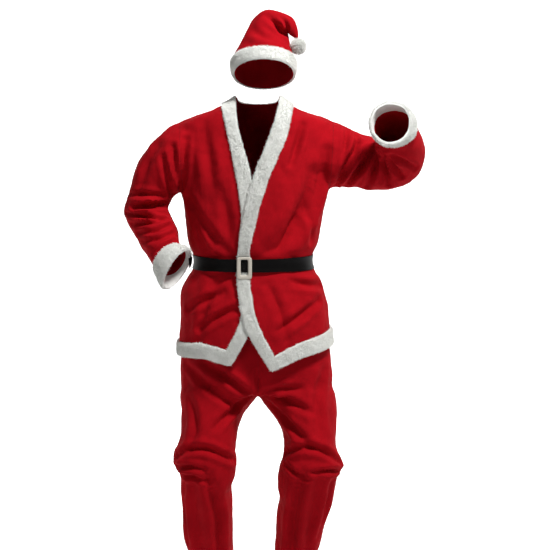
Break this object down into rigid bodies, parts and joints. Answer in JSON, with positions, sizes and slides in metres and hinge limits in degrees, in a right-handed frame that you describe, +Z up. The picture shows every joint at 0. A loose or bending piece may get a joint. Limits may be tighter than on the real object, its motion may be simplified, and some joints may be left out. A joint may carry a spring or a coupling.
{
  "type": "santa suit",
  "caption": "Red felt suit with white plush trim, held in its wearer's pose: floppy hat, belted wrap jacket with one raised sleeve, and straight trousers",
  "frame": {"origin": "middle of the jacket's neck opening, where the wearer holds the suit", "axes": "+Z up, +X to the wearer's left, the front faces -Y"},
  "size_m": [0.905, 0.3897, 1.7907],
  "materials": {
    "red_felt": "matt polyester felt with a short nap and a soft sheen",
    "white_plush": "short-pile plush, matt, soft edges",
    "black_belt": "imitation leather, low sheen, fine grain",
    "ivory_plastic": "moulded plastic, satin"
  },
  "bodies": {
    "root": {"hat_crown": "red_felt", "hat_brim": "white_plush", "hat_pompom": "white_plush", "jacket_back": "red_felt", "jacket_front_left": "red_felt", "jacket_front_right": "red_felt", "sleeve_left": "red_felt", "sleeve_right": "red_felt", "cuff_trim_left": "white_plush", "cuff_trim_right": "white_plush", "front_band_left": "white_plush", "front_band_right": "white_plush", "neck_band_back": "white_plush", "hem_trim_back": "white_plush", "hem_trim_left": "white_plush", "hem_trim_right": "white_plush", "belt": "black_belt", "belt_buckle": "ivory_plastic", "trouser_front_left": "red_felt", "trouser_back_left": "red_felt", "trouser_front_right": "red_felt", "trouser_back_right": "red_felt"}
  },
  "joints": []
}
